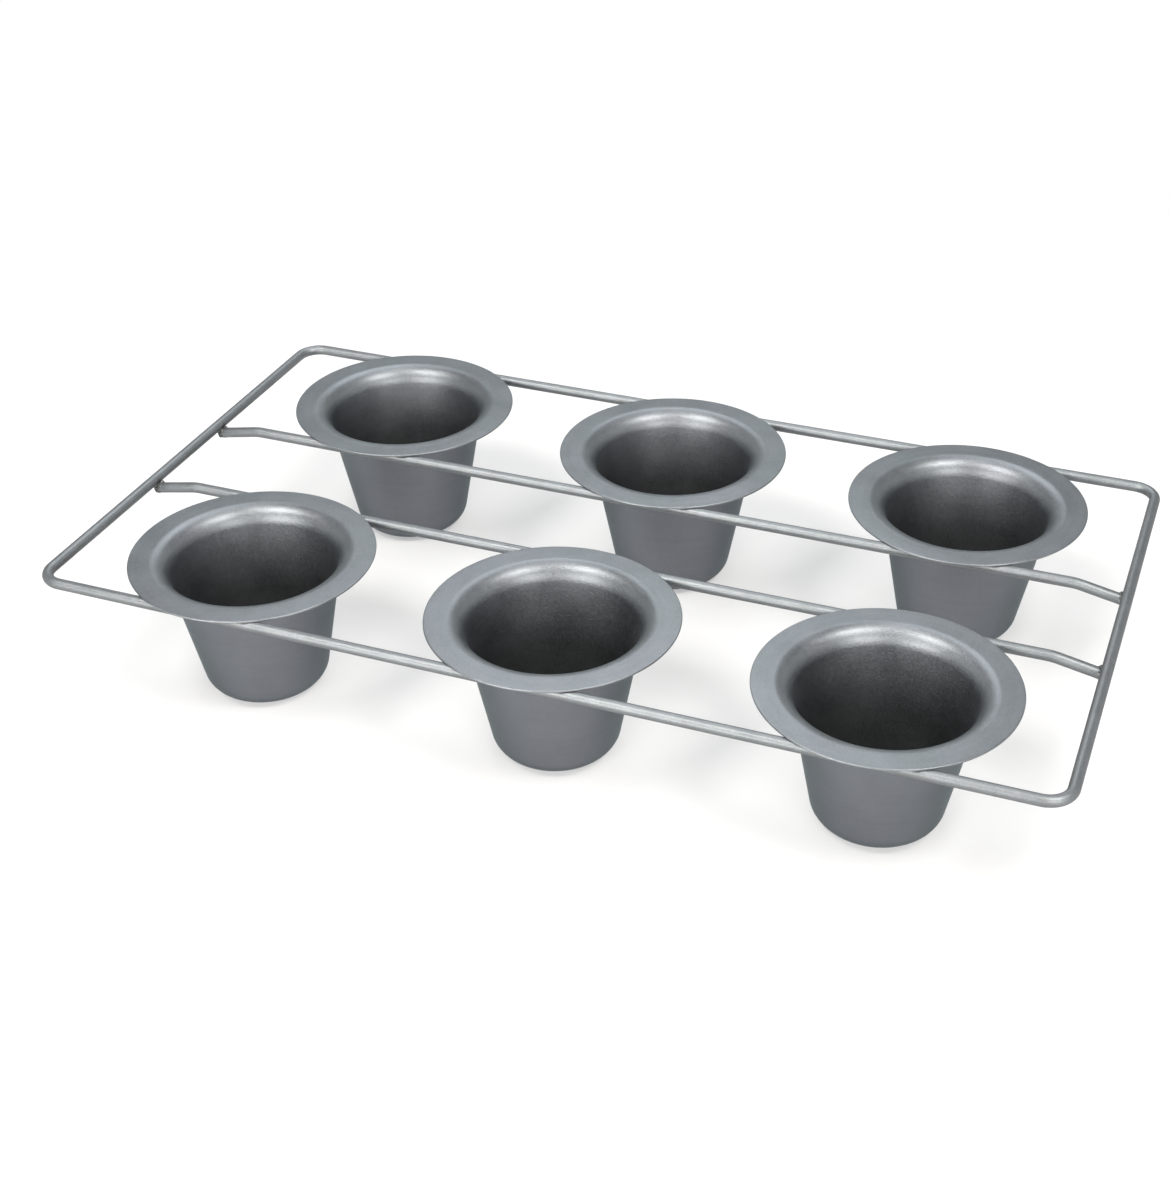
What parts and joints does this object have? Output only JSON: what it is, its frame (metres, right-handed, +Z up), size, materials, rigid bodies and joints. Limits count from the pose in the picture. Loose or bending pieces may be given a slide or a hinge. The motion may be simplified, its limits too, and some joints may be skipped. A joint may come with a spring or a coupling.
{
  "type": "popover pan",
  "caption": "Popover pan: deep tapered cups with flat flanges, hung in a welded rectangular wire frame, for baking tall popovers in an oven.",
  "frame": {"origin": "on the table, below the middle of the frame; the bases of the cups stand on z = 0", "axes": "+X along the long side, to the right seen from the front; +Y towards the rear; +Z up"},
  "size_m": [0.384, 0.221, 0.0565],
  "materials": {
    "coated_sheet": "satin metallic grey non-stick coating on drawn steel sheet",
    "coated_wire": "satin metallic grey coating on round steel wire",
    "coated_weld": "rough weld metal under the same grey coating"
  },
  "bodies": {
    "root": {"outer_loop": "coated_wire", "loop_butt_weld": "coated_weld", "front_cross_wire": "coated_wire", "rear_cross_wire": "coated_wire", "front_left_end_weld": "coated_weld", "front_right_end_weld": "coated_weld", "rear_left_end_weld": "coated_weld", "rear_right_end_weld": "coated_weld", "front_left_cup": "coated_sheet", "front_middle_cup": "coated_sheet", "front_right_cup": "coated_sheet", "rear_left_cup": "coated_sheet", "rear_middle_cup": "coated_sheet", "rear_right_cup": "coated_sheet", "front_left_cup_welds": "coated_weld", "front_middle_cup_welds": "coated_weld", "front_right_cup_welds": "coated_weld", "rear_left_cup_welds": "coated_weld", "rear_middle_cup_welds": "coated_weld", "rear_right_cup_welds": "coated_weld"}
  },
  "joints": []
}
